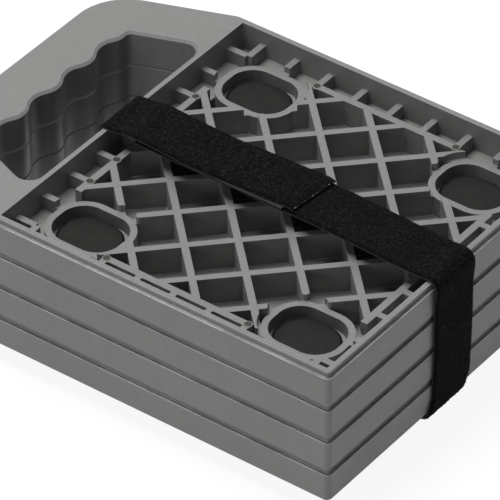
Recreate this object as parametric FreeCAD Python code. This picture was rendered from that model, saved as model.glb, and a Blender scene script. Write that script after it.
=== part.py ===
import FreeCAD, Part
import math
import os

os.makedirs("parts", exist_ok=True)

V = FreeCAD.Vector

# Strapped set of levelling pads. Millimetres.
# +X runs from the carrying handle to the far end, +Y to the back, +Z up.
# The origin is the bottom centre of the whole set's bounding box.

# ---------------------------------------------------------------- dimensions
pad_count = 4
pad_length = 304.8          # handle end to far end, outside the walls
handle_length = 77.1        # handle end to the straight side of the hand hole
pad_width = 229.2           # outside the walls
pad_pitch = 22.1            # one pad to the next, also the pad's own edge height

ledge = 1.6                 # the rim stands this far inside the outer wall
rim_thickness = 3.2
rim_rise = 3.4              # rim top above the outer wall's top edge
edge_round = 1.6            # bevel along the wall's bottom edge and round the hand hole
wall = ledge + rim_thickness
far_corner = 3.4

recess_corner = 0.6         # corners of the tray inside the rim

floor = 2.6                 # plate thickness
channel_floor_top = 4.4     # floor of the channel between wall and rail
rib_top = 12.9              # top of ribs, rails and gussets
channel_end = 10.9          # tray wall to foot platform, at the two ends
channel_flank = 11.4        # the same at the front and back
platform_drop = 7.0         # platform bottom below the wall's bottom edge
platform_floor_top = -platform_drop + 2.8

rib_width = 4.2
rib_spacing = 29.3          # across the ribs, which run at 45 degrees
rail_width = 4.3
rail_overlap_x = 1.8        # front and back rails run this far into the socket rings
rail_overlap_y = 2.5        # the same for the rails at the two ends
gusset_width = 4.0
gusset_pitch_x = 23.75
gusset_pitch_y = 24.05

ring_length = 50.4          # oblong socket ring round each rubber foot
ring_width = 42.3
ring_corner = 18.5
ring_wall = 4.0
ring_top = 8.8
foot_clearance = 2.0        # ribs stop this far outside the foot of the pad above

foot_drop = 4.1             # rubber foot below the platform
foot_top = 0.3              # top of the foot inside its socket
foot_fit = 0.15             # foot inside its socket, each side
socket_flats = 6            # flats in each corner of a foot and its socket
hidden_flats = 1            # flats in each corner of what the neighbours shut in

handle_left_half = 62.0     # straight part of the handle's end edge, half length
handle_taper = 20.5         # degrees off the X axis
handle_corner = 35.0
taper_corner = 8.0
deck = 3.5                  # handle plate thickness
shell = 3.0                 # walls round the hand hole
bar = 4.3                   # divider bar between hand hole and tray
hole_half = 80.6            # hand hole, half length at the bar, to its sharp corner
hole_corner = 8.4           # corners at the bar
grip_corner = 4.0           # corners at the finger side
hole_width = 47.2           # from the bar to the bottom of a finger scallop
finger_pitch = 30.4
finger_depth = 4.6
finger_count = 4
wave_fit = 0.98             # share of the radius at which the arcs of the wave would meet
end_bump = 8.0              # rounding after the last scallop
handle_rib = 2.4
end_web_from_bar = 30.0     # slanted webs at both ends of the hand hole
end_web_reach = 50.0
end_web_angle = 70.0

strap_width = 38.0
strap = 2.0
strap_gap = 0.1             # lower strap layer to the hook patch above it
hook_patch_thickness = 0.9
hook_patch_length = 58.0
tail_end_from_bar = 130.2   # free end of the upper layer, from the hole side of the bar
tail_start_from_bar = 26.0
lower_start_from_bar = 24.0
hook_end_margin = 5.0

fuzz = 1e-3                 # slack when edges are picked by their place

# ---------------------------------------------------------------- derived
recess_length = pad_length - handle_length - bar - wall
recess_width = pad_width - 2 * wall
recess_half_x = recess_length / 2
recess_half_y = recess_width / 2
x_far = recess_half_x + wall                    # outer far face, from the tray centre
x_near = x_far - pad_length                     # outer handle end
x_bar = -recess_half_x - bar                    # hole side of the divider bar
wall_top = pad_pitch - rim_rise
sole_bottom = -platform_drop - foot_drop
base = -sole_bottom                             # wall bottom of the lowest pad
stack_top = base + pad_count * pad_pitch
platform_half_x = recess_half_x - channel_end
platform_half_y = recess_half_y - channel_flank
ring_x = platform_half_x - ring_length / 2
ring_y = platform_half_y - ring_width / 2
socket_length = ring_length - 2 * ring_wall
socket_width = ring_width - 2 * ring_wall
socket_corner = ring_corner - ring_wall

# The strap stands outside the far wall, so the box centre moves with it.
shift_x = -(x_near + x_far + strap) / 2


# ---------------------------------------------------------------- helpers
def rounded_wire(points, radii, z=0.0):
    """Closed wire through the corner points, each corner rounded by its radius."""
    n = len(points)
    starts = []
    ends = []
    mids = []
    for i in range(n):
        p = V(points[i][0], points[i][1], z)
        a = V(points[i - 1][0], points[i - 1][1], z)
        b = V(points[(i + 1) % n][0], points[(i + 1) % n][1], z)
        u = (a - p).normalize()
        w = (b - p).normalize()
        r = radii[i]
        if r <= 0:
            starts.append(p)
            ends.append(p)
            mids.append(None)
            continue
        half = u.getAngle(w) / 2
        run = r / math.tan(half)
        s = p + u * run
        e = p + w * run
        centre = p + (u + w).normalize() * (r / math.sin(half))
        starts.append(s)
        ends.append(e)
        mids.append(centre + (p - centre).normalize() * r)
    edges = []
    for i in range(n):
        if mids[i] is not None:
            edges.append(Part.Arc(starts[i], mids[i], ends[i]).toShape())
        j = (i + 1) % n
        if ends[i].distanceToPoint(starts[j]) > 1e-6:
            edges.append(Part.makeLine(ends[i], starts[j]))
    return Part.Wire(edges)


def prism(wire, z0, z1):
    """Solid between two heights from a wire drawn at z = 0."""
    face = Part.Face(wire)
    solid = face.extrude(V(0, 0, z1 - z0))
    solid.translate(V(0, 0, z0))
    return solid


def oblong(length, width, corner, cx=0.0, cy=0.0, flats=0):
    """Rectangle centred on a point. Its corners are round, or made of flats that touch the arc."""
    hx = length / 2
    hy = width / 2
    if flats == 0:
        pts = [(cx - hx, cy - hy), (cx + hx, cy - hy), (cx + hx, cy + hy), (cx - hx, cy + hy)]
        return rounded_wire(pts, [corner] * 4)
    step = 90 / (flats + 1)
    reach = corner / math.cos(math.radians(step / 2))
    pts = []
    for sx, sy, start in ((1, 1, 0), (-1, 1, 90), (-1, -1, 180), (1, -1, 270)):
        for k in range(flats + 1):
            turn = math.radians(start + (k + 0.5) * step)
            pts.append((cx + sx * (hx - corner) + reach * math.cos(turn),
                        cy + sy * (hy - corner) + reach * math.sin(turn)))
    return rounded_wire(pts, [0] * len(pts))


def box(x0, x1, y0, y1, z0, z1):
    return Part.makeBox(x1 - x0, y1 - y0, z1 - z0, V(x0, y0, z0))


def bar_at(cx, cy, length, width, angle, z0, z1):
    """Straight bar centred on a point, turned about Z."""
    b = Part.makeBox(length, width, z1 - z0, V(-length / 2, -width / 2, z0))
    b.rotate(V(0, 0, 0), V(0, 0, 1), angle)
    b.translate(V(cx, cy, 0))
    return b


def outline(inset):
    """Pad outline seen from above, moved in by an inset."""
    x0 = x_near + inset
    x1 = x_far - inset
    y1 = pad_width / 2 - inset
    t = math.tan(math.radians(handle_taper))
    # The end edge and the taper meet at a sharp point that the corner radius rounds off.
    turn = math.radians(90 - handle_taper) / 2
    corner_r = handle_corner - inset
    y_sharp = handle_left_half + handle_corner * math.tan(turn) - inset * math.tan(turn)
    x_taper = x0 + (y1 - y_sharp) / t
    pts = [
        (x0, -y_sharp),
        (x_taper, -y1),
        (x1, -y1),
        (x1, y1),
        (x_taper, y1),
        (x0, y_sharp),
    ]
    rad = [corner_r, taper_corner, far_corner - inset, far_corner - inset, taper_corner, corner_r]
    return rounded_wire(pts, rad)


def hand_hole(grow):
    """Hand hole: straight along the bar, slanted ends, and a wave for the fingers opposite."""
    lean = 2 * math.atan(2 * finger_depth / finger_pitch)
    radius = ((finger_pitch / 4) ** 2 + (finger_depth / 2) ** 2) / finger_depth
    middle = x_bar - hole_width + finger_depth / 2
    reach = finger_pitch / 4 * math.tan(lean)
    x_grip = middle + finger_depth / 2
    y_bump = finger_pitch * finger_count / 2 - finger_pitch / 4 + finger_depth / 2 / math.tan(lean)
    y_grip = hole_half - math.tan(math.radians(handle_taper)) * (x_bar - x_grip)
    points = [(x_bar, -hole_half), (x_bar, hole_half), (x_grip, y_grip), (x_grip, y_bump)]
    radii = [hole_corner, hole_corner, grip_corner, end_bump]
    turns = 2 * finger_count - 1
    for k in range(turns):
        side = -1 if k % 2 == 0 else 1
        points.append((middle + side * reach, (turns - 1 - 2 * k) * finger_pitch / 4))
        radii.append(wave_fit * radius)
    points += [(x_grip, -y_bump), (x_grip, -y_grip)]
    radii += [end_bump, grip_corner]
    wire = rounded_wire(points, radii)
    if grow > 0:
        wire = wire.makeOffset2D(grow)
    return wire


def ribbon(points, radius, t):
    """Closed XZ outline of a strip that follows a centre line with rounded bends."""
    left = []
    right = []
    n = len(points)
    for i in range(n):
        p = V(points[i][0], 0, points[i][1])
        if i == 0 or i == n - 1:
            q = points[1] if i == 0 else points[n - 2]
            d = V(q[0] - p.x, 0, q[1] - p.z).normalize()
            if i == n - 1:
                d = d * -1
            side = V(-d.z, 0, d.x) * (t / 2)
            left.append((p + side,))
            right.append((p - side,))
            continue
        a = V(points[i - 1][0], 0, points[i - 1][1])
        b = V(points[i + 1][0], 0, points[i + 1][1])
        u = (a - p).normalize()
        w = (b - p).normalize()
        half = u.getAngle(w) / 2
        run = radius / math.tan(half)
        c = p + (u + w).normalize() * (radius / math.sin(half))
        out = []
        for r in (radius - t / 2, radius + t / 2):
            s = c + ((p + u * run) - c).normalize() * r
            e = c + ((p + w * run) - c).normalize() * r
            m = c + (p - c).normalize() * r
            out.append((s, m, e))
        d = u * -1
        turn = d.x * w.z - d.z * w.x
        if turn > 0:
            left.append(out[0])
            right.append(out[1])
        else:
            left.append(out[1])
            right.append(out[0])
    path = left + [tuple(reversed(x)) for x in reversed(right)]
    edges = []
    m = len(path)
    for i in range(m):
        item = path[i]
        if len(item) == 3:
            edges.append(Part.Arc(item[0], item[1], item[2]).toShape())
        nxt = path[(i + 1) % m][0]
        if item[-1].distanceToPoint(nxt) > 1e-6:
            edges.append(Part.makeLine(item[-1], nxt))
    return Part.Wire(edges)


def strip(points, radius, t, width):
    face = Part.Face(ribbon(points, radius, t))
    solid = face.extrude(V(0, width, 0))
    solid.translate(V(0, -width / 2, 0))
    return solid


def pick_edges(shape, test):
    return [e for e in shape.Edges if test(e)]


def at_height(edge, z):
    span = edge.BoundBox
    return abs(span.ZMin - z) < fuzz and abs(span.ZMax - z) < fuzz


# ---------------------------------------------------------------- one pad
def skirt_and_deck():
    """Outer wall with a bevelled bottom edge, and the narrower rim and deck on top."""
    skirt = prism(outline(0), 0, wall_top)
    skirt = skirt.makeChamfer(edge_round, pick_edges(skirt, lambda e: at_height(e, 0)))
    body = skirt.fuse(prism(outline(ledge), wall_top - 1, pad_pitch)).removeSplitter()
    tray = oblong(recess_length, recess_width, recess_corner)
    under = oblong(recess_length, recess_width, 0)
    body = body.cut(prism(tray, channel_floor_top, pad_pitch + 1))
    return body.cut(prism(under, -1, channel_floor_top - floor))


def handle_hollow(open_under):
    """Space inside the handle, open from below. Where it shows, it follows the scallops."""
    hollow = prism(outline(wall), -1, pad_pitch - deck)
    hollow = hollow.cut(box(x_bar, x_far, -pad_width, pad_width, -2, pad_pitch))
    if not open_under:
        inner = x_bar - hole_width - shell
        end = hole_half + shell
        return hollow.cut(box(inner, x_bar + 1, -end, end, -2, pad_pitch))
    hollow = hollow.cut(prism(hand_hole(shell), -2, pad_pitch))
    webs = []
    for k in (-1, 0, 1):
        y = k * finger_pitch
        webs.append(box(x_near, x_bar - hole_width + finger_depth, y - handle_rib / 2,
                        y + handle_rib / 2, 0, pad_pitch - deck))
    for s in (-1, 1):
        webs.append(bar_at(x_bar - end_web_from_bar, s * (hole_half + end_web_reach / 2),
                           end_web_reach, handle_rib, s * end_web_angle, 0, pad_pitch - deck))
    return hollow.cut(webs[0].multiFuse(webs[1:]))


def cut_handle(body, open_under):
    """Hollows the handle and cuts the hand hole, bevelled along its top edge and under the bar."""
    body = body.cut(handle_hollow(open_under))
    body = body.cut(prism(hand_hole(0), -1, pad_pitch + 1))
    hole = hand_hole(0).BoundBox
    hole.enlarge(fuzz)
    edges = pick_edges(body, lambda e: at_height(e, pad_pitch)
                       and hole.XMin < e.BoundBox.XMin and e.BoundBox.XMax < hole.XMax
                       and hole.YMin < e.BoundBox.YMin and e.BoundBox.YMax < hole.YMax)
    body = body.makeChamfer(edge_round, edges)
    side = edge_round * math.sqrt(2)
    straight = hole_half - hole_corner / math.tan(math.radians(90 - handle_taper) / 2)
    bevel = Part.makeBox(side, 2 * straight, side, V(-side / 2, -straight, -side / 2))
    bevel.rotate(V(0, 0, 0), V(0, 1, 0), 45)
    bevel.translate(V(x_bar, 0, 0))
    return body.cut(bevel)


def platform_outline(inset, flats):
    """Outline of the foot platform seen from above, moved in by an inset."""
    return oblong(2 * (platform_half_x - inset), 2 * (platform_half_y - inset),
                  ring_corner - inset, flats=flats)


def add_platform(body, tray_flats, under_flats):
    """Foot platform under the tray, hollow from above."""
    side = platform_outline(0, under_flats)
    inner = platform_outline(rail_width, tray_flats)
    platform = prism(side, -platform_drop, channel_floor_top)
    low_edges = pick_edges(platform, lambda e: at_height(e, -platform_drop))
    platform = platform.makeChamfer(edge_round, low_edges)
    body = body.fuse(platform)
    return body.cut(prism(inner, platform_floor_top, pad_pitch + 1))


def diagonal_ribs(spacing, flats):
    """Crossed ribs at 45 degrees over the platform floor."""
    low = platform_floor_top - 0.5
    bars = []
    reach = platform_half_x + platform_half_y
    count = int(reach / math.sqrt(2) / spacing)
    for k in range(-count, count + 1):
        c = k * spacing / math.sqrt(2)
        bars.append(bar_at(c, -c, 2 * reach, rib_width, 45, low, rib_top))
        bars.append(bar_at(c, c, 2 * reach, rib_width, -45, low, rib_top))
    bars = bars[0].multiFuse(bars[1:])
    keep = platform_outline(rail_width / 2, flats)
    return bars.common(prism(keep, low - 1, rib_top + 1))


def gusset_places(half, pitch):
    """Even places either side of the middle, as many as the platform's side holds."""
    count = int((half - gusset_width / 2) / pitch)
    return [k * pitch for k in range(-count, count + 1)]


def rails_and_gussets(with_gussets):
    """Rails along the platform's edge, and short gussets across the channel to the wall."""
    end_rail = platform_half_x - rail_width / 2
    flank_rail = platform_half_y - rail_width / 2
    length_x = 2 * (platform_half_x - ring_length + rail_overlap_x)
    length_y = 2 * (platform_half_y - ring_width + rail_overlap_y)
    low = channel_floor_top - 0.5
    parts = []
    for s in (-1, 1):
        parts.append(bar_at(0, s * flank_rail, length_x, rail_width, 0, low, rib_top))
        parts.append(bar_at(s * end_rail, 0, length_y, rail_width, 90, low, rib_top))
        if not with_gussets:
            continue
        span_x = recess_half_x + 1 - end_rail
        span_y = recess_half_y + 1 - flank_rail
        for x in gusset_places(platform_half_x, gusset_pitch_x):
            parts.append(bar_at(x, s * (flank_rail + span_y / 2), span_y, gusset_width, 90,
                                low, rib_top))
        for y in gusset_places(platform_half_y, gusset_pitch_y):
            parts.append(bar_at(s * (end_rail + span_x / 2), y, span_x, gusset_width, 0,
                                low, rib_top))
    return parts


def corners():
    """Centres of the four sockets."""
    return [(sx * ring_x, sy * ring_y) for sx in (-1, 1) for sy in (-1, 1)]


def make_pad(open_tray, open_under):
    """One pad. Trays and undersides that the neighbours shut in have fewer, plainer ribs."""
    tray_flats = 0 if open_tray else hidden_flats
    under_flats = 0 if open_under else hidden_flats
    body = cut_handle(skirt_and_deck(), open_under)
    body = add_platform(body, tray_flats, under_flats)
    ribs = diagonal_ribs(rib_spacing if open_tray else 2 * rib_spacing, tray_flats)
    frame = ribs.multiFuse(rails_and_gussets(open_tray))
    rings = []
    pockets = []
    for cx, cy in corners():
        # Ribs stop clear of the foot of the pad above; the socket ring stands lower.
        clear = oblong(ring_length + 2 * foot_clearance, ring_width + 2 * foot_clearance,
                       ring_corner + foot_clearance, cx, cy, tray_flats)
        frame = frame.cut(prism(clear, ring_top, pad_pitch))
        ring = oblong(ring_length, ring_width, ring_corner, cx, cy, tray_flats)
        rings.append(prism(ring, platform_floor_top - 0.5, ring_top))
        pocket = oblong(socket_length, socket_width, socket_corner, cx, cy,
                        socket_flats if open_tray or open_under else hidden_flats)
        pockets.append(prism(pocket, -platform_drop - 1, pad_pitch))
    body = body.fuse(frame).multiFuse(rings)
    for pocket in pockets:
        body = body.cut(pocket)
    return body.removeSplitter()


def make_foot(flats):
    """Rubber block pressed into its socket, standing out under the platform."""
    block = oblong(socket_length - 2 * foot_fit, socket_width - 2 * foot_fit,
                   socket_corner - foot_fit, flats=flats)
    return prism(block, sole_bottom, foot_top)


# ---------------------------------------------------------------- the strap
bend = edge_round + strap / 2
top_line = stack_top + strap / 2
right_line = x_far + strap / 2
left_line = x_bar - strap / 2
under_line = base - platform_drop - strap / 2

# Slanted runs under the set touch the rounded edges of the skirt and of the platform.
def slant(ax, az, bx, bz):
    """Offset line past two rounded edges: point on it and its direction, outside both."""
    d = V(bx - ax, 0, bz - az).normalize()
    out = V(d.z, 0, -d.x)
    if out.z > 0:
        out = out * -1
    return V(ax, 0, az) + out * bend, d


def line_at_x(p, d, x):
    return p.z + d.z * (x - p.x) / d.x


def line_at_z(p, d, z):
    return p.x + d.x * (z - p.z) / d.z


skirt_c = (x_far - edge_round, base + edge_round)
plat_c = (platform_half_x - edge_round, base - platform_drop + edge_round)
bar_c = (x_bar + edge_round, base + edge_round)
p1, d1 = slant(plat_c[0], plat_c[1], skirt_c[0], skirt_c[1])
p2, d2 = slant(-plat_c[0], plat_c[1], bar_c[0], bar_c[1])

hook_level = top_line + strap / 2 + strap_gap + hook_patch_thickness + strap / 2
x_low_start = x_bar + lower_start_from_bar
x_tail = x_bar + tail_start_from_bar
x_tail_end = x_bar + tail_end_from_bar

# Upper layer: over the bar, then up onto the lower layer.
x_rise = x_bar + edge_round + bend
band_path = [
    (x_low_start, top_line),
    (right_line, top_line),
    (right_line, line_at_x(p1, d1, right_line)),
    (line_at_z(p1, d1, under_line), under_line),
    (line_at_z(p2, d2, under_line), under_line),
    (left_line, line_at_x(p2, d2, left_line)),
    (left_line, top_line),
    (x_rise, top_line),
    (x_tail - 4, hook_level),
    (x_tail, hook_level),
]

tail = Part.makeBox(x_tail_end - x_tail, strap_width, strap,
                    V(x_tail, -strap_width / 2, hook_level - strap / 2))
patch = Part.makeBox(hook_patch_length, strap_width - 2, hook_patch_thickness,
                     V(x_tail_end - hook_end_margin - hook_patch_length, -strap_width / 2 + 1,
                       hook_level - strap / 2 - hook_patch_thickness))


# ---------------------------------------------------------------- export
def export(shape, node):
    out = shape.copy()
    out.translate(V(shift_x, 0, 0))
    out.exportStep("parts/" + node + ".step")


for i in range(pad_count):
    z = base + i * pad_pitch
    lowest = i == 0
    highest = i == pad_count - 1
    pad = make_pad(highest, lowest)
    pad.translate(V(0, 0, z))
    export(pad, "pad_%d" % (i + 1))
    for sx, end in ((-1, "handle"), (1, "far")):
        for sy, flank in ((-1, "front"), (1, "back")):
            foot = make_foot(socket_flats if highest or lowest else hidden_flats)
            foot.translate(V(sx * ring_x, sy * ring_y, z))
            export(foot, "foot_%d_%s_%s" % (i + 1, end, flank))

export(strip(band_path, bend, strap, strap_width), "strap_band")
export(tail, "strap_tail")
export(patch, "hook_patch")
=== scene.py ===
import math

import bpy
import numpy as np
from mathutils import Matrix, Vector


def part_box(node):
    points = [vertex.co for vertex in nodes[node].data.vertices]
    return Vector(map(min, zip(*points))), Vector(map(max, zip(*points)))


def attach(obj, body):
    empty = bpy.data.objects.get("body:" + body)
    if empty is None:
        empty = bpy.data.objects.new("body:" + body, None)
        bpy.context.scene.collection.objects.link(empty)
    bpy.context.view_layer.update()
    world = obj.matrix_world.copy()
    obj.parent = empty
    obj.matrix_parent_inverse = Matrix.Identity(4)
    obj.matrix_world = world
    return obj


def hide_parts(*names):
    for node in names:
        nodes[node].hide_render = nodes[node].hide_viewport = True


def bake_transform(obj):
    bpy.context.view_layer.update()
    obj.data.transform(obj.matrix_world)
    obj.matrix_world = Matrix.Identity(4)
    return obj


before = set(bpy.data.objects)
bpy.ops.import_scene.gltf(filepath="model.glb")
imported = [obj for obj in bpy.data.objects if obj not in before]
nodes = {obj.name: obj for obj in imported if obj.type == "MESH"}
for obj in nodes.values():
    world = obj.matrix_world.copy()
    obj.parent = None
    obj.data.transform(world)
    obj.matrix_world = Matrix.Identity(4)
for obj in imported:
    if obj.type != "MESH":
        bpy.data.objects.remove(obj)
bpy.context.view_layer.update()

MM = 0.001
GRID = 0.8 * MM                     # mesh spacing of the strap

# ------------------------------------------------------------------ sizes from the frame
top_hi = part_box("pad_4")[1]
low_lo, low_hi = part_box("pad_1")
band_lo, band_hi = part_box("strap_band")
tail_lo, tail_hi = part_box("strap_tail")
foot_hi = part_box("foot_1_far_back")[1]

pad_names = sorted(n for n in nodes if n.startswith("pad_"))
foot_names = sorted(n for n in nodes if n.startswith("foot_"))
sockets = [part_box(n) for n in foot_names if n.startswith("foot_4_")]
stack_top = top_hi.z
pitch = (top_hi.z - low_hi.z) / (len(pad_names) - 1)
skirt_z = low_hi.z - pitch          # bottom edge of the lowest pad's wall
platform_z = low_lo.z               # bottom of its foot platform
strap_t = tail_hi.z - tail_lo.z
strap_w = tail_hi.y - tail_lo.y - 3 * MM
bar_x = band_lo.x + strap_t         # hand-hole face of the divider bar
far_x = band_hi.x - strap_t         # far wall of the stack

# ------------------------------------------------------------------ sizes of the pads' moulding
rim_rise = 3.4 * MM                 # rim top above the outer wall's top edge
tray_to_far = 114.1 * MM            # middle of the tray to the far wall
tray_x = top_hi.x - tray_to_far
pad_base = top_hi.z - pitch         # bottom edge of the top pad's wall
rib_z = pad_base + 12.9 * MM        # top of ribs and rails
ring_z = pad_base + 8.8 * MM        # top of the socket rings
channel_z = pad_base + 4.4 * MM     # floor between wall and rail
rib_line = 20.72 * MM               # rows of rib crossings, along X and along Y
rib_half = 2.1 * MM                 # half a rib's width
rail_line = 96.25                   # middle of the tray to a rail, in millimetres
gusset_x = 23.75
gusset_y = 24.05
socket_corner = 14.4 * MM
stop_x, stop_y, stop_corner = 27.2, 23.15, 20.5     # half sizes of where the ribs stop, in millimetres


# ------------------------------------------------------------------ node helpers
def new_material(name):
    mat = bpy.data.materials.new(name)
    mat.use_nodes = True
    tree = mat.node_tree
    tree.nodes.clear()
    out = tree.nodes.new("ShaderNodeOutputMaterial")
    shader = tree.nodes.new("ShaderNodeBsdfPrincipled")
    tree.links.new(shader.outputs["BSDF"], out.inputs["Surface"])
    return mat, tree, shader


def add(tree, kind, **values):
    node = tree.nodes.new(kind)
    for key, value in values.items():
        if key in node.inputs:
            node.inputs[key].default_value = value
        else:
            setattr(node, key, value)
    return node


def noise(tree, scale, detail=2.0, rough=0.5, stretch=(1, 1, 1)):
    """Noise in object space: scale is features per metre."""
    where = add(tree, "ShaderNodeTexCoord")
    mapping = add(tree, "ShaderNodeMapping")
    mapping.inputs["Scale"].default_value = stretch
    tree.links.new(where.outputs["Object"], mapping.inputs["Vector"])
    tex = add(tree, "ShaderNodeTexNoise", Scale=scale, Detail=detail, Roughness=rough)
    tree.links.new(mapping.outputs["Vector"], tex.inputs["Vector"])
    return tex.outputs["Fac"]


def ramp(tree, fac, stops):
    node = add(tree, "ShaderNodeValToRGB")
    band = node.color_ramp
    while len(band.elements) < len(stops):
        band.elements.new(0.5)
    for element, (pos, value) in zip(band.elements, stops):
        element.position = pos
        grey = value if hasattr(value, "__len__") else (value,) * 3
        element.color = (*grey, 1)
    tree.links.new(fac, node.inputs["Fac"])
    return node.outputs["Color"]


def mix(tree, fac, a, b, mode="MIX"):
    node = add(tree, "ShaderNodeMix", data_type="RGBA", blend_type=mode)
    for socket, value in (("Factor", fac), ("A", a), ("B", b)):
        target = [i for i in node.inputs if i.name == socket and i.enabled][0]
        if isinstance(value, bpy.types.NodeSocket):
            tree.links.new(value, target)
        else:
            target.default_value = value
    return [o for o in node.outputs if o.enabled][0]


def bump(tree, height, distance, strength=1.0, under=None):
    node = add(tree, "ShaderNodeBump", Distance=distance, Strength=strength)
    tree.links.new(height, node.inputs["Height"])
    if under is not None:
        tree.links.new(under, node.inputs["Normal"])
    return node.outputs["Normal"]


# ------------------------------------------------------------------ materials
def round_edges(tree, radius):
    """Normal rounded over the sharp edges, and a mask of where it turns."""
    soft = add(tree, "ShaderNodeBevel", samples=6, Radius=radius)
    flat = add(tree, "ShaderNodeNewGeometry")
    dot = add(tree, "ShaderNodeVectorMath", operation="DOT_PRODUCT")
    tree.links.new(soft.outputs["Normal"], dot.inputs[0])
    tree.links.new(flat.outputs["Normal"], dot.inputs[1])
    return soft.outputs["Normal"], ramp(tree, dot.outputs["Value"], [(0.86, 1.0), (0.985, 0.0)])


def pad_plastic():
    """Moulded grey plastic: even colour, faint flow marks, fine grain and light scuffs. Its edges are
    painted paler as wear and painted highlight, with a brighter painted highlight on each outer wall's top
    edge.
    """
    mat, tree, shader = new_material("pad_plastic")
    broad = ramp(tree, noise(tree, 9, 3), [(0.3, (0.222, 0.223, 0.217)), (0.7, (0.240, 0.241, 0.234))])
    fine = ramp(tree, noise(tree, 700, 3), [(0.3, 0.96), (0.7, 1.04)])
    colour = mix(tree, 1.0, broad, fine, "MULTIPLY")
    for seed, stretch in enumerate(((1, 14, 14), (14, 1, 14), (9, 2, 14))):
        scratch = noise(tree, 34 + 9 * seed, 5, 0.72, stretch)
        scuffs = ramp(tree, scratch, [(0.60, 0.0), (0.68, 0.30)])
        colour = mix(tree, scuffs, colour, (0.31, 0.31, 0.30, 1))
    draft = ramp(tree, noise(tree, 30, 3, 0.5, (10, 10, 0.8)), [(0.35, 0.975), (0.65, 1.025)])
    colour = mix(tree, 1.0, colour, draft, "MULTIPLY")
    normal, edge_wear_and_highlight = round_edges(tree, 0.00045)
    # Every sharp edge is painted paler: partly wear, partly painted highlight.
    colour = mix(tree, ramp(tree, edge_wear_and_highlight, [(0.2, 0.0), (1.0, 0.45)]), colour, (0.36, 0.36, 0.35, 1))
    # A painted highlight runs along the top edge of every pad's outer wall, brightest unevenly along its
    # length.
    where = add(tree, "ShaderNodeTexCoord")
    axes = add(tree, "ShaderNodeSeparateXYZ")
    tree.links.new(where.outputs["Object"], axes.inputs["Vector"])
    shift = add(tree, "ShaderNodeMath", operation="SUBTRACT")
    tree.links.new(axes.outputs["Z"], shift.inputs[0])
    shift.inputs[1].default_value = top_hi.z - rim_rise - (len(pad_names) + 1) * pitch
    near = add(tree, "ShaderNodeMath", operation="PINGPONG")
    tree.links.new(shift.outputs[0], near.inputs[0])
    near.inputs[1].default_value = pitch / 2
    at_ledge = ramp(tree, near.outputs[0], [(0.0005, 1.0), (0.0014, 0.0)])
    uneven = ramp(tree, noise(tree, 34, 4, 0.65), [(0.38, 0.20), (0.60, 1.0)])
    wide = round_edges(tree, 0.0013)[1]
    ledge_highlight = mix(tree, 1.0, mix(tree, 1.0, wide, at_ledge, "MULTIPLY"), uneven, "MULTIPLY")
    colour = mix(tree, ledge_highlight, colour, (0.95, 0.95, 0.93, 1))
    tree.links.new(colour, shader.inputs["Base Color"])
    rough_map = ramp(tree, noise(tree, 60, 4), [(0.25, 0.34), (0.75, 0.46)])
    tree.links.new(rough_map, shader.inputs["Roughness"])
    grain = bump(tree, noise(tree, 1300, 2), 0.00004, 0.5, normal)
    waves = bump(tree, noise(tree, 26, 1), 0.0005, 0.2, grain)
    tree.links.new(waves, shader.inputs["Normal"])
    shader.inputs["Specular IOR Level"].default_value = 0.5
    return mat


def painted_pit_shade():
    """Bottom of the small moulded dimples: rough plastic painted dark brown as the dimple's shade."""
    mat, tree, shader = new_material("painted_pit_shade")
    colour = ramp(tree, noise(tree, 900, 3), [(0.3, (0.006, 0.005, 0.004)), (0.7, (0.036, 0.028, 0.022))])
    tree.links.new(colour, shader.inputs["Base Color"])
    shader.inputs["Roughness"].default_value = 0.7
    tree.links.new(bump(tree, noise(tree, 1500, 2), 0.0002, 0.6), shader.inputs["Normal"])
    return mat


def painted_gap_shade():
    """Brown-black painted shade in the gap round each rubber foot."""
    mat, tree, shader = new_material("painted_gap_shade")
    colour = ramp(tree, noise(tree, 700, 3), [(0.3, (0.0018, 0.0014, 0.0011)),
                                              (0.7, (0.0085, 0.0064, 0.0048))])
    tree.links.new(colour, shader.inputs["Base Color"])
    shader.inputs["Roughness"].default_value = 0.9
    shader.inputs["Specular IOR Level"].default_value = 0.1
    tree.links.new(bump(tree, noise(tree, 900, 3), 0.0004, 0.8), shader.inputs["Normal"])
    return mat


def foot_rubber():
    """Dull black rubber with a dusty, slightly uneven face."""
    mat, tree, shader = new_material("foot_rubber")
    dust = ramp(tree, noise(tree, 160, 4, 0.6), [(0.3, (0.0090, 0.0088, 0.0081)),
                                                 (0.75, (0.0165, 0.0160, 0.0147))])
    tree.links.new(dust, shader.inputs["Base Color"])
    shader.inputs["Roughness"].default_value = 0.82
    shader.inputs["Specular IOR Level"].default_value = 0.25
    soft = round_edges(tree, 0.0008)[0]
    tree.links.new(bump(tree, noise(tree, 420, 4, 0.6), 0.0003, 0.6, soft), shader.inputs["Normal"])
    return mat


def loop_pile():
    """Black napped loop tape: soft tufts over a millimetre wide, mottled, almost without shine."""
    mat, tree, shader = new_material("strap_fabric")
    tufts = noise(tree, 620, 3, 0.6)
    yarn = noise(tree, 2400, 2, 0.5)
    colour = ramp(tree, tufts, [(0.36, (0.0009, 0.0008, 0.0007)), (0.50, (0.0044, 0.0041, 0.0036)),
                                (0.60, (0.0110, 0.0104, 0.0093)), (0.72, (0.0260, 0.0247, 0.0224))])
    strands = ramp(tree, yarn, [(0.35, 0.6), (0.65, 1.4)])
    colour = mix(tree, 1.0, colour, strands, "MULTIPLY")
    tree.links.new(colour, shader.inputs["Base Color"])
    shader.inputs["Roughness"].default_value = 0.95
    shader.inputs["Specular IOR Level"].default_value = 0.08
    height = mix(tree, 0.35, tufts, yarn)
    tree.links.new(bump(tree, height, 0.0009, 1.0), shader.inputs["Normal"])
    return mat


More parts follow.
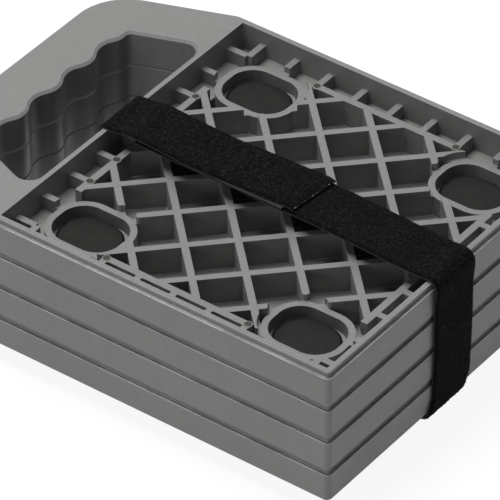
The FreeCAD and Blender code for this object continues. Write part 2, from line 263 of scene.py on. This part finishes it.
def selvage():
    """Woven edge of the strap: smoother than the pile and greyer, partly its own weave and partly a painted
    highlight where the edge catches light.
    """
    mat, tree, shader = new_material("strap_edge")
    colour = ramp(tree, noise(tree, 1500, 3), [(0.3, (0.045, 0.045, 0.045)), (0.7, (0.105, 0.104, 0.100))])
    tree.links.new(colour, shader.inputs["Base Color"])
    shader.inputs["Roughness"].default_value = 0.7
    shader.inputs["Specular IOR Level"].default_value = 0.2
    tree.links.new(bump(tree, noise(tree, 1800, 2), 0.0002, 0.6), shader.inputs["Normal"])
    return mat


def hook_tape():
    """Black hook tape: a fine regular grid of hooks."""
    mat, tree, shader = new_material("hook_tape")
    where = add(tree, "ShaderNodeTexCoord")
    grid = add(tree, "ShaderNodeTexVoronoi", Scale=700.0)
    grid.inputs["Randomness"].default_value = 0.2
    tree.links.new(where.outputs["Object"], grid.inputs["Vector"])
    colour = ramp(tree, grid.outputs["Distance"], [(0.1, (0.012, 0.012, 0.013)),
                                                   (0.6, (0.003, 0.003, 0.003))])
    tree.links.new(colour, shader.inputs["Base Color"])
    shader.inputs["Roughness"].default_value = 0.6
    tree.links.new(bump(tree, grid.outputs["Distance"], 0.0004, 0.8), shader.inputs["Normal"])
    return mat


def cut_edge():
    """Pale heat-cut line at the free end of the strap."""
    mat, tree, shader = new_material("cut_edge")
    colour = ramp(tree, noise(tree, 500, 3), [(0.38, (0.05, 0.05, 0.046)), (0.58, (0.52, 0.51, 0.47))])
    tree.links.new(colour, shader.inputs["Base Color"])
    shader.inputs["Roughness"].default_value = 0.7
    tree.links.new(bump(tree, noise(tree, 1200, 2), 0.0002, 0.6), shader.inputs["Normal"])
    return mat


plastic = pad_plastic()
rubber = foot_rubber()
fabric = loop_pile()
selvage_cloth_and_highlight = selvage()
hooks = hook_tape()
pale = cut_edge()
dimple_shade = painted_pit_shade()
gap_shade = painted_gap_shade()


# ------------------------------------------------------------------ CAD nodes
def dress(node, material):
    obj = nodes[node]
    obj.data.materials.clear()
    obj.data.materials.append(material)
    return obj


for name in pad_names:
    dress(name, plastic)
for name in foot_names:
    dress(name, rubber)
dress("hook_patch", hooks)


# ------------------------------------------------------------------ moulded details of the top pad
def link(name, mesh):
    obj = bpy.data.objects.new(name, mesh)
    bpy.context.scene.collection.objects.link(obj)
    return obj


class Builder:
    """Collects verts and faces of one piece, with a material slot for each face."""

    def __init__(self):
        self.verts = []
        self.faces = []
        self.slots = []

    def rings(self, loops, slots, close=True):
        """Skins loops of equal length; the last may be closed with a fan."""
        count = len(loops[0])
        first = len(self.verts)
        for loop in loops:
            self.verts += [tuple(p) for p in loop]
        for k in range(len(loops) - 1):
            for i in range(count):
                a = first + k * count + i
                b = first + k * count + (i + 1) % count
                self.faces.append((a, b, b + count, a + count))
                self.slots.append(slots[k])
        if close:
            last = first + (len(loops) - 1) * count
            self.faces.append(tuple(range(last, last + count)))
            self.slots.append(slots[-1])

    def make(self, name, materials, smooth=True):
        mesh = bpy.data.meshes.new(name)
        mesh.from_pydata(self.verts, [], self.faces)
        for material in materials:
            mesh.materials.append(material)
        mesh.polygons.foreach_set("material_index", self.slots)
        if smooth:
            mesh.shade_smooth()
            mesh.set_sharp_from_angle(angle=math.radians(35))
        return link(name, mesh)


def circle(x, y, z, r, n=28):
    return [(x + r * math.cos(2 * math.pi * i / n), y + r * math.sin(2 * math.pi * i / n), z)
            for i in range(n)]


def stadium(cx, cy, z, hx, hy, r, n=12):
    """Oblong loop with round corners."""
    out = []
    for sx, sy, start in ((1, 1, 0), (-1, 1, 90), (-1, -1, 180), (1, -1, 270)):
        for k in range(n + 1):
            turn = math.radians(start + 90 * k / n)
            out.append((cx + sx * (hx - r) + r * math.cos(turn), cy + sy * (hy - r) + r * math.sin(turn), z))
    return out


# Rubber feet seen from above: a crowned button set a little off centre on each socket's floor.
# Each pair below is how far a loop is inset and how high it lies, in millimetres.
floor_loops = ((0.0, 0.5), (0.25, 0.22), (0.6, 0.12), (3.0, 0.10), (9.0, 0.10))
button_loops = ((0.35, 0.08), (0.30, 0.30), (0.0, 0.5), (0.05, 0.95), (0.4, 1.25), (1.2, 1.45),
                (4.0, 1.65), (8.0, 1.75))
button_slots = [1, 1, 1, 1, 1, 0, 0, 0]     # painted shade up its side and round its edge, then rubber
button_x, button_y, button_corner = 19.2 * MM, 15.6 * MM, 14.6 * MM
for index, (lo, hi) in enumerate(sockets):
    cx = (lo.x + hi.x) / 2
    cy = (lo.y + hi.y) / 2
    hx = (hi.x - lo.x) / 2 + 0.1 * MM
    hy = (hi.y - lo.y) / 2 + 0.1 * MM
    seat_z = hi.z
    seat = Builder()
    loops = []
    for inset, rise in floor_loops:
        loops.append(stadium(cx, cy, seat_z + rise * MM, hx - inset * MM, hy - inset * MM,
                             socket_corner - inset * MM))
    seat.rings(loops, [0] * len(loops))
    piece = seat.make("pad_4_socket_floor_%d" % index, [plastic])
    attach(piece, "stack")
    button = Builder()
    loops = []
    for inset, rise in button_loops:
        loops.append(stadium(cx - 1.35 * MM, cy + 1.0 * MM, seat_z + rise * MM, button_x - inset * MM,
                             button_y - inset * MM, button_corner - inset * MM))
    button.rings(loops, button_slots)
    piece = button.make("foot_4_button_%d" % index, [rubber, gap_shade])
    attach(piece, "stack")

# Round bosses with a dimple where the rails meet the gussets, and round ejector marks.
bosses = Builder()
places = [(sx * 2 * gusset_x, sy * rail_line) for sx in (-1, 1) for sy in (-1, 1)]
places += [(-rail_line, k * gusset_y) for k in (-2, -1, 2)]
for x, y in places:
    x = tray_x + x * MM
    y = y * MM
    loops = [circle(x, y, channel_z + 0.1 * MM, 2.85 * MM), circle(x, y, rib_z - 0.1 * MM, 2.75 * MM),
             circle(x, y, rib_z + 0.22 * MM, 2.5 * MM), circle(x, y, rib_z + 0.24 * MM, 2.1 * MM),
             circle(x, y, rib_z + 0.05 * MM, 1.75 * MM), circle(x, y, rib_z + 0.03 * MM, 0.8 * MM)]
    # The dimple's inside takes the dark painted shade.
    bosses.rings(loops, [0, 0, 0, 1, 1, 1])
piece = bosses.make("pad_4_bosses", [plastic, dimple_shade])
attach(piece, "stack")

marks = Builder()
crossings = range(-4, 5)
for i in crossings:
    for j in crossings:
        x = rib_line * (i + j)
        y = rib_line * (j - i)
        near_socket = abs(x) > 44 * MM and abs(y) > 52 * MM
        if (i + j) % 2 or max(abs(x), abs(y)) > 92 * MM or near_socket:
            continue
        loops = [circle(tray_x + x, y, rib_z + h * MM, r * MM, 32)
                 for r, h in ((2.02, 0.01), (1.97, 0.07), (1.83, 0.07), (1.78, 0.01))]
        marks.rings(loops, [0, 0, 0], close=False)
piece = marks.make("pad_4_ejector_marks", [plastic])
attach(piece, "stack")


def clear_of_socket(x, y):
    """Distance from the outline round a socket where the ribs stop, positive outside it."""
    best = 1.0
    for lo, hi in sockets:
        dx = abs(x - (lo.x + hi.x) / 2) - (stop_x - stop_corner) * MM
        dy = abs(y - (lo.y + hi.y) / 2) - (stop_y - stop_corner) * MM
        best = min(best, math.hypot(max(dx, 0), max(dy, 0)) + min(max(dx, dy), 0) - stop_corner * MM)
    return best


# Rounded ends of the ribs where they stop short of a socket. Each rib is walked in small steps, and
# an end is made where it runs steeply across the outline. A rib that grazes the outline gets none.
ends = Builder()
steep = 2.9 * MM
for turn in (1, -1):
    for k in crossings:
        before = None
        for step in range(-1400, 1401):
            x = step * 0.1 * MM
            y = turn * x - turn * k * 2 * rib_line
            if max(abs(x), abs(y)) > 93 * MM:
                before = None
                continue
            now = clear_of_socket(tray_x + x, y) > 0
            ahead = clear_of_socket(tray_x + x + 1.5 * MM, y + turn * 1.5 * MM)
            behind = clear_of_socket(tray_x + x - 1.5 * MM, y - turn * 1.5 * MM)
            if before is not None and now != before and abs(ahead - behind) > steep:
                back = (1 if now else -1) * 0.9 * MM / math.sqrt(2)
                cx = tray_x + x + back
                cy = y + turn * back
                loops = [circle(cx, cy, ring_z - 1.5 * MM, 2.12 * MM),
                         circle(cx, cy, rib_z - 0.4 * MM, rib_half),
                         circle(cx, cy, rib_z - 0.05 * MM, 1.9 * MM),
                         circle(cx, cy, rib_z + 0.02 * MM, 1.6 * MM)]
                ends.rings(loops, [0] * 4)
            before = now
piece = ends.make("pad_4_rib_ends", [plastic])
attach(piece, "stack")

# ------------------------------------------------------------------ strap
def smooth_route(corners, radii, step):
    """Points along a route in the XZ plane, its corners rounded, and their left-hand normals."""
    pts = []
    for i, c in enumerate(corners):
        p = np.array(c, float)
        if i in (0, len(corners) - 1) or radii[i] <= 0:
            pts.append(p)
            continue
        a = np.array(corners[i - 1], float)
        b = np.array(corners[i + 1], float)
        u = (a - p) / np.linalg.norm(a - p)
        w = (b - p) / np.linalg.norm(b - p)
        half = math.acos(np.clip(u @ w, -1, 1)) / 2
        run = radii[i] / math.tan(half)
        centre = p + (u + w) / np.linalg.norm(u + w) * radii[i] / math.sin(half)
        start = p + u * run - centre
        end = p + w * run - centre
        turn = math.pi - 2 * half
        n = max(3, int(turn * radii[i] / step) + 2)
        for k in range(n + 1):
            t = k / n
            v = start * math.sin((1 - t) * turn) + end * math.sin(t * turn)
            pts.append(centre + v / math.sin(turn))
    pts = np.array(pts)
    seg = np.linalg.norm(np.diff(pts, axis=0), axis=1)
    s = np.concatenate([[0], np.cumsum(seg)])
    even = np.linspace(0, s[-1], max(2, int(round(s[-1] / step)) + 1))
    out = np.stack([np.interp(even, s, pts[:, 0]), np.interp(even, s, pts[:, 1])], 1)
    d = np.gradient(out, axis=0)
    d /= np.linalg.norm(d, axis=1)[:, None]
    return out, np.stack([-d[:, 1], d[:, 0]], 1), even


def rough(s, y, seed, cell):
    """Smooth seeded value noise over strip length and width, about -1 to 1."""
    gen = np.random.default_rng(seed)
    ns = int(s.max() / cell) + 3
    nw = int((y.max() - y.min()) / cell) + 3
    table = gen.uniform(-1, 1, (ns, nw))
    fs = s / cell
    fw = (y - y.min()) / cell
    i = np.floor(fs).astype(int)
    j = np.floor(fw).astype(int)
    a = fs - i
    b = fw - j
    a = a * a * (3 - 2 * a)
    b = b * b * (3 - 2 * b)
    top = table[i, j] * (1 - b) + table[i, j + 1] * b
    low = table[i + 1, j] * (1 - b) + table[i + 1, j + 1] * b
    return top * (1 - a) + low * a


def columns_across():
    """Places across the strap: narrow steps at the woven edges, even ones between."""
    edge = strap_w / 2
    inner = edge - 1.3 * MM
    middle = np.linspace(-inner, inner, int(2 * inner / GRID) + 1)
    lip = np.array([edge, edge - 0.35 * MM, edge - 0.8 * MM])
    return np.concatenate([-lip, middle, lip[::-1]])


def tape(name, route, normals, lengths, sway, seed, centre, seam=None, slant=0.0):
    """Closed strip of loop tape along a route, its pile on the side of the left-hand normals."""
    ys = columns_across()
    s, y = np.meshgrid(lengths, ys, indexing="ij")
    rows, columns = s.shape
    side = sway(lengths)[:, None]
    nx = normals[:, 0:1]
    nz = normals[:, 1:2]
    inside = np.clip((strap_w / 2 - 0.8 * MM - np.abs(y)) / (0.9 * MM), 0, 1)
    pile = 0.20 * MM * rough(s, y, seed, 1.5 * MM) + 0.14 * MM * rough(s, y, seed + 1, 3.6 * MM)
    pile = pile + 0.10 * MM * rough(s, y, seed + 3, 0.8 * MM)
    high = strap_t / 2 * (0.30 + 0.62 * np.sqrt(inside)) + pile * inside
    if seam is not None:
        high = high - 0.30 * MM * np.exp(-(((s - seam) / (0.5 * MM)) ** 2))
    low = -strap_t / 2 * np.ones_like(high) * 0.95
    drift = 0.35 * MM * rough(s, np.sign(y) * strap_w / 2 + 0 * y, seed + 2, 14 * MM)
    drift = drift * (np.abs(y) / (strap_w / 2)) ** 3 + centre(lengths)[:, None]
    # One ring per row: pile, edge, back, edge. The edge line parts the pile from the woven selvage.
    ledge = low[:, :1] * 0.35
    first, last = y[:, :1], y[:, -1:]
    levels = np.concatenate([high, ledge, low[:, ::-1], ledge], 1) + side
    across = np.concatenate([y + drift, last + drift[:, -1:], (y + drift)[:, ::-1],
                             first + drift[:, :1]], 1)
    flat = np.concatenate([y, last, y[:, ::-1], first], 1)
    skew = slant * flat / (strap_w / 2) * np.clip((s[:, :1] - lengths[-1] + 20 * MM) / (20 * MM), 0, 1)
    ring = levels.shape[1]
    verts = np.stack([route[:, 0:1] + nx * levels + skew, across, route[:, 1:2] + nz * levels], 2)
    verts = verts.reshape(-1, 3)
    index = np.arange(rows * ring).reshape(rows, ring)
    around = np.roll(index, -1, axis=1)
    skin = np.stack([index[:-1], around[:-1], around[1:], index[1:]], 2).reshape(-1, 4)
    # The selvage faces are greyer: their own weave, and partly a painted highlight where the edge catches
    # light.
    slot = np.zeros(ring, np.int32)
    slot[[columns, 2 * columns]] = 1
    faces = skin.tolist()
    slots = np.tile(slot, rows - 1).tolist()
    for row, turn in ((0, -1), (rows - 1, 1)):
        faces.append(index[row, ::turn].tolist())
        slots.append(0)
    mesh = bpy.data.meshes.new(name)
    mesh.from_pydata(verts.tolist(), [], faces)
    mesh.materials.append(fabric)
    mesh.materials.append(selvage_cloth_and_highlight)
    mesh.polygons.foreach_set("material_index", slots)
    mesh.shade_smooth()
    mesh.set_sharp_from_angle(angle=math.radians(60))
    return link(name, mesh)


def along(points):
    """Smooth course through (place, value) pairs in millimetres along the strap."""
    place, value = np.array(points, float).T * MM

    def course(s):
        k = np.clip(np.searchsorted(place, s) - 1, 0, len(place) - 2)
        t = np.clip((s - place[k]) / (place[k + 1] - place[k]), 0, 1)
        t = t * t * (3 - 2 * t)
        return value[k] * (1 - t) + value[k + 1] * t
    return course


def fuzz(name, route, normals, lengths, sway, count, seed, centre):
    """Loose loops of yarn that stand out of the pile, each a small bent ribbon."""
    gen = np.random.default_rng(seed)
    place = gen.uniform(0.5, len(lengths) - 1.6, count)
    i = place.astype(int)
    f = (place - i)[:, None]
    point = route[i] * (1 - f) + route[i + 1] * f
    out = normals[i]
    y = gen.uniform(-1, 1, count) * (strap_w / 2 - 1.0 * MM)
    at_edge = gen.uniform(0, 1, count) < 0.18
    y = np.where(at_edge, np.sign(y) * (strap_w / 2 - 0.9 * MM), y)
    lift = 0.40 * strap_t + sway(lengths)[i]
    base = np.stack([point[:, 0] + out[:, 0] * lift, y + centre(lengths)[i],
                     point[:, 1] + out[:, 1] * lift], 1)
    up = np.stack([out[:, 0], np.where(at_edge, 0.7 * np.sign(y), 0), out[:, 1]], 1)
    up /= np.linalg.norm(up, axis=1)[:, None]
    forward = np.stack([out[:, 1], 0 * y, -out[:, 0]], 1)
    turn = gen.uniform(0, 2 * math.pi, count)[:, None]
    course = forward * np.cos(turn) + np.array([[0, 1, 0]]) * np.sin(turn)
    across = np.cross(course, up)
    across /= np.linalg.norm(across, axis=1)[:, None] + 1e-9
    length = gen.uniform(0.7, 1.6, count)[:, None] * MM
    height = gen.uniform(0.15, 0.55, count)[:, None] * MM
    width = gen.uniform(0.10, 0.22, count)[:, None] * MM
    verts = []
    for k, h in ((0, 0), (0.33, 0.85), (0.67, 1.0), (1, 0.15)):
        middle = base + course * length * (k - 0.5) + up * height * h
        verts.append(middle - across * width / 2)
        verts.append(middle + across * width / 2)
    verts = np.stack(verts, 1).reshape(-1, 3)
    first = np.arange(count) * 8
    faces = np.concatenate([np.stack([first + 2 * k, first + 2 * k + 1, first + 2 * k + 3,
                                      first + 2 * k + 2], 1) for k in range(3)])
    mesh = bpy.data.meshes.new(name)
    mesh.from_pydata(verts.tolist(), [], faces.tolist())
    mesh.materials.append(fabric)
    mesh.shade_smooth()
    return link(name, mesh)


# Lower layer: from its hidden end over the tray, down the far side, back underneath and up the bar.
half = strap_t / 2
lower_start = tail_lo.x - 2 * MM
platform_x = foot_hi.x
loop_corners = [
    (lower_start, stack_top + half),
    (far_x + half, stack_top + half),
    (far_x + half, skirt_z - 1.8 * MM),
    (platform_x - 0.6 * MM, platform_z - half),
    (bar_x + 15.6 * MM, platform_z - half),
    (bar_x - half, skirt_z + 0.4 * MM),
    (bar_x - half, skirt_z + 6 * MM),
]
loop_radii = [0, 6 * MM, 4 * MM, 5 * MM, 5 * MM, 3 * MM, 0]


def loop_sway(s):
    """Slack of the lower layer: small waves on top, a bulge over the far rim and down the side."""
    top_run = far_x - lower_start
    side_run = stack_top - skirt_z
    out = 0.25 * MM * np.sin(s / (23 * MM)) * np.clip(s / (40 * MM), 0, 1)
    out = out + 1.3 * MM * np.exp(-(((s - top_run - 2 * MM) / (11 * MM)) ** 2))
    out = out + 0.7 * MM * np.exp(-(((s - top_run - side_run * 0.45) / (26 * MM)) ** 2))
    return np.maximum(out, 0) * (s < top_run + side_run - 4 * MM)


route, normals, lengths = smooth_route(loop_corners, loop_radii, GRID)
rim_at = (far_x - lower_start) / MM
skirt_at = rim_at + (stack_top - skirt_z) / MM
loop_centre = along([(0, 0.8), (rim_at * 0.55, 1.0), (rim_at, -2.3), (skirt_at - 30, -2.0),
                     (skirt_at - 12, -2.4), (skirt_at + 2, -7.0), (skirt_at + 40, -5.0),
                     (skirt_at + 110, 0), (skirt_at + 400, 0)])
strap_loop = tape("strap_loop", route, normals, lengths, loop_sway, 11, loop_centre)
loop_fuzz = fuzz("strap_loop_fuzz", route, normals, lengths, loop_sway, 9000, 21, loop_centre)

# Upper layer: up through the hand hole, over the bar and along the lower layer to its free end.
level = (tail_lo.z + tail_hi.z) / 2
flap_x = tail_hi.x + 3 * MM         # the tape runs on past the solid that stands for it
flap_slant = 1.8 * MM               # the cut isn't square
flap_dip = 0.9 * MM                 # its end lies this much lower
flap_corners = [
    (bar_x - half, skirt_z + 5.5 * MM),
    (bar_x - half, stack_top + half),
    (bar_x + 9 * MM, stack_top + half + 0.4 * MM),
    (bar_x + 21 * MM, level),
    (flap_x, level),
]
flap_radii = [0, 3.2 * MM, 12 * MM, 12 * MM, 0]


def flap_sway(s):
    """The free end lies down towards the layer below it, past the hook tape."""
    end = s.max()
    out = 0.35 * MM * np.sin((s - 90 * MM) / (17 * MM))
    out = out * np.clip((s - 110 * MM) / (20 * MM), 0, 1)
    return out - flap_dip * np.clip((s - end + 7 * MM) / (7 * MM), 0, 1) ** 2


route, normals, lengths = smooth_route(flap_corners, flap_radii, GRID)
flap_length = lengths[-1]
flap_end = flap_length / MM
flap_centre = along([(0, 1.2), (flap_end - 130, 1.8), (flap_end - 70, -0.8), (flap_end - 25, 0.8),
                     (flap_end, 1.6)])
strap_flap = tape("strap_flap", route, normals, lengths, flap_sway, 31, flap_centre,
                  flap_length - 7 * MM, flap_slant)
flap_fuzz = fuzz("strap_flap_fuzz", route, normals, lengths, flap_sway, 6000, 41, flap_centre)


def cut_line():
    """Pale sealed yarns along the cut at the free end, thicker and thinner, broken in places."""
    gen = np.random.default_rng(51)
    n = 150
    sides = 6
    y = np.linspace(-1, 1, n) * (strap_w / 2 - 0.3 * MM)
    wide = 0.12 * MM + 0.17 * MM * np.convolve(gen.uniform(-1, 1, n + 4), np.ones(5) / 2.6, "valid")
    wide = np.maximum(wide, 0.015 * MM) * np.clip((strap_w / 2 - np.abs(y)) / (3 * MM), 0.15, 1)
    wobble = 0.09 * MM * np.convolve(gen.uniform(-1, 1, n + 8), np.ones(9) / 4, "valid")
    x = flap_x + 0.1 * MM + wobble + flap_slant * y / (strap_w / 2)
    z = level - flap_dip + 0.80 * strap_t / 2 + wobble
    y = y + 1.6 * MM
    rows = []
    for k in range(sides):
        turn = 2 * math.pi * k / sides
        rows.append(np.stack([x + wide * math.cos(turn), y, z + wide * math.sin(turn)], 1))
    verts = np.stack(rows, 1).reshape(-1, 3)
    build = Builder()
    build.verts = [tuple(v) for v in verts]
    for i in range(n - 1):
        for k in range(sides):
            a = i * sides + k
            b = i * sides + (k + 1) % sides
            build.faces.append((a, b, b + sides, a + sides))
            build.slots.append(0)
    return build.make("strap_cut_line", [pale])


cut_piece = cut_line()
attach(cut_piece, "tail")

for piece in (strap_loop, loop_fuzz):
    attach(piece, "stack")
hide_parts("strap_band")
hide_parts("strap_tail")
for piece in (strap_flap, flap_fuzz):
    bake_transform(piece)

# ------------------------------------------------------------------ floor, lights, camera
def seen_rays(tree):
    """1 for rays from the camera, also by way of gloss or glass."""
    path = add(tree, "ShaderNodeLightPath")
    first = add(tree, "ShaderNodeMath", operation="MAXIMUM")
    both = add(tree, "ShaderNodeMath", operation="MAXIMUM")
    tree.links.new(path.outputs["Is Camera Ray"], first.inputs[0])
    tree.links.new(path.outputs["Is Transmission Ray"], first.inputs[1])
    tree.links.new(first.outputs[0], both.inputs[0])
    tree.links.new(path.outputs["Is Glossy Ray"], both.inputs[1])
    return both.outputs[0]


def stage_white():
    """Floor that lights the object as white paper would and shows as plain white."""
    mat = bpy.data.materials.new("white_floor")
    mat.use_nodes = True
    tree = mat.node_tree
    tree.nodes.clear()
    out = tree.nodes.new("ShaderNodeOutputMaterial")
    paper = add(tree, "ShaderNodeBsdfDiffuse", Color=(0.74, 0.74, 0.74, 1))
    shown = add(tree, "ShaderNodeEmission", Color=(1, 1, 1, 1), Strength=1.14)
    kept = add(tree, "ShaderNodeMixShader", Fac=0.8)
    tree.links.new(paper.outputs["BSDF"], kept.inputs[1])
    tree.links.new(shown.outputs["Emission"], kept.inputs[2])
    pick = add(tree, "ShaderNodeMixShader")
    tree.links.new(seen_rays(tree), pick.inputs["Fac"])
    tree.links.new(paper.outputs["BSDF"], pick.inputs[1])
    tree.links.new(kept.outputs["Shader"], pick.inputs[2])
    tree.links.new(pick.outputs["Shader"], out.inputs["Surface"])
    return mat


mesh = bpy.data.meshes.new("floor")
reach = 6.0
corners = [(-reach, -reach, 0), (reach, -reach, 0), (reach, reach, 0), (-reach, reach, 0)]
mesh.from_pydata(corners, [], [(0, 1, 2, 3)])
floor = bpy.data.objects.new("floor", mesh)
bpy.context.scene.collection.objects.link(floor)
mesh.materials.append(stage_white())


def lamp(name, place, target, size, power):
    data = bpy.data.lights.new(name, "AREA")
    data.shape = "SQUARE"
    data.size = size
    data.energy = power
    obj = bpy.data.objects.new(name, data)
    obj.location = place
    aim = Vector(target) - Vector(place)
    obj.rotation_mode = "QUATERNION"
    obj.rotation_quaternion = aim.to_track_quat("-Z", "Y")
    bpy.context.scene.collection.objects.link(obj)
    return obj


lamp("overhead", (-0.55, 0.0, 1.9), (0, 0, 0.05), 1.0, 33)
lamp("back", (0.1, 1.5, 1.5), (0, 0, 0.05), 1.0, 3.6)
lamp("front", (-0.3, -2.3, 0.45), (0, 0, 0.05), 1.4, 12.5)

world = bpy.data.worlds.new("world")
bpy.context.scene.world = world
world.use_nodes = True
tree = world.node_tree
tree.nodes.clear()
out = tree.nodes.new("ShaderNodeOutputWorld")
soft = add(tree, "ShaderNodeBackground", Color=(1, 1, 1, 1), Strength=0.02)
white = add(tree, "ShaderNodeBackground", Color=(1, 1, 1, 1), Strength=1.0)
choose = add(tree, "ShaderNodeMixShader")
tree.links.new(seen_rays(tree), choose.inputs["Fac"])
tree.links.new(soft.outputs[0], choose.inputs[1])
tree.links.new(white.outputs[0], choose.inputs[2])
tree.links.new(choose.outputs[0], out.inputs["Surface"])

# The camera looks down at the front far corner. The handle's end and the far back corner are cropped.
azimuth = math.radians(36.697)
elevation = math.radians(38.419)
roll = math.radians(-0.131)
distance = 3.0990
back = Vector((math.sin(azimuth) * math.cos(elevation), -math.cos(azimuth) * math.cos(elevation),
               math.sin(elevation)))
right = Vector((math.cos(azimuth), math.sin(azimuth), 0))
up = back.cross(right)
x_axis = right * math.cos(roll) + up * math.sin(roll)
y_axis = back.cross(x_axis)
camera_data = bpy.data.cameras.new("camera")
camera_data.sensor_width = 36
camera_data.lens = 415.1
camera = bpy.data.objects.new("camera", camera_data)
aim = Vector((0.0547, -0.0540, stack_top))
turn = Matrix((x_axis, y_axis, back)).transposed().to_4x4()
camera.matrix_world = Matrix.Translation(aim + back * distance) @ turn
camera_data.clip_end = 50
bpy.context.scene.collection.objects.link(camera)
bpy.context.scene.camera = camera
bpy.context.scene.view_settings.view_transform = "Standard"
